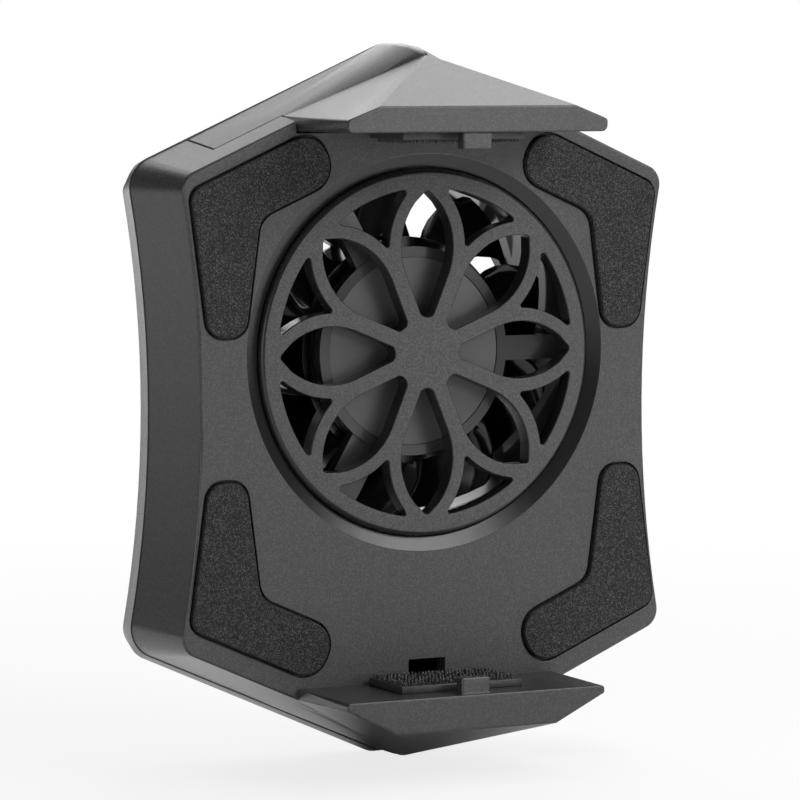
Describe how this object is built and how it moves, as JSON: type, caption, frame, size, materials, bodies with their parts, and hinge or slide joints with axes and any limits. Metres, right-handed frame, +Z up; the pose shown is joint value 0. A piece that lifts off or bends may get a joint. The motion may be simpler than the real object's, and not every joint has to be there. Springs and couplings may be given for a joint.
{
  "type": "phone cooling fan",
  "caption": "Clamp-on phone cooling fan: hexagonal body with waisted sides, round flower grille over an axial fan, fixed lower jaw, sprung sliding upper jaw, foam rests, power socket and rear button",
  "frame": {"origin": "On the fan's axis, in the plane of the flat front face that faces the phone", "axes": "X to the right seen from the front, Y from the front face to the back along the fan's axis, Z up along the sliding jaw's travel"},
  "size_m": [0.0678, 0.0308, 0.0877],
  "materials": {
    "case_plastic": "charcoal plastic, finely textured face and satin walls",
    "fan_plastic": "dark grey plastic",
    "rotor_plastic": "polished black plastic",
    "foam": "fine closed-cell foam",
    "grip_pad": "coarse loop pile",
    "label": "smooth printed film",
    "steel": "plain steel",
    "bronze": "sintered bronze",
    "copper": "enamelled copper wire",
    "magnet": "bonded ferrite",
    "board": "green solder mask",
    "chip": "moulded black epoxy",
    "switch_plastic": "natural nylon",
    "lead": "soft wire sleeve"
  },
  "bodies": {
    "housing": {"front_shell": "case_plastic", "rear_cover": "case_plastic", "front_grille": "case_plastic", "lower_jaw_pad": "grip_pad", "foam_pad_upper_left": "foam", "foam_pad_upper_right": "foam", "foam_pad_lower_left": "foam", "foam_pad_lower_right": "foam", "jaw_spring_left": "steel", "jaw_spring_right": "steel", "fan_frame": "fan_plastic", "hub_disc": "label", "bearing_sleeve": "bronze", "fan_board": "board", "stator_core": "steel", "stator_coils": "copper", "fan_lead": "lead", "fan_screws": "steel", "case_screws": "steel", "board_screws": "steel", "control_board": "board", "board_chips": "chip", "usb_shell": "steel", "usb_tongue": "chip", "tact_switch": "chip"},
    "jaw": {"upper_jaw": "case_plastic", "upper_jaw_pad": "grip_pad"},
    "rotor": {"fan_rotor": "rotor_plastic", "rotor_yoke": "steel", "rotor_magnet": "magnet", "rotor_shaft": "steel", "shaft_clip": "switch_plastic"},
    "button": {"power_button": "case_plastic", "switch_plunger": "switch_plastic"}
  },
  "joints": [
    {"name": "jaw_slide", "type": "slide", "parent": "housing", "child": "jaw", "axis": [0, 0, 1], "range_m": [0, 0.02], "stiffness_N_per_m": 200, "springref_m": -0.03, "deforming": ["jaw_spring_left", "jaw_spring_right"]},
    {"name": "rotor_spin", "type": "hinge", "parent": "housing", "child": "rotor", "pos_m": [0, 0, 0], "axis": [0, 1, 0], "continuous": true},
    {"name": "button_press", "type": "slide", "parent": "housing", "child": "button", "axis": [0, -1, 0], "range_m": [0, 0.0004], "stiffness_N_per_m": 3000, "springref_m": -0.0002}
  ]
}
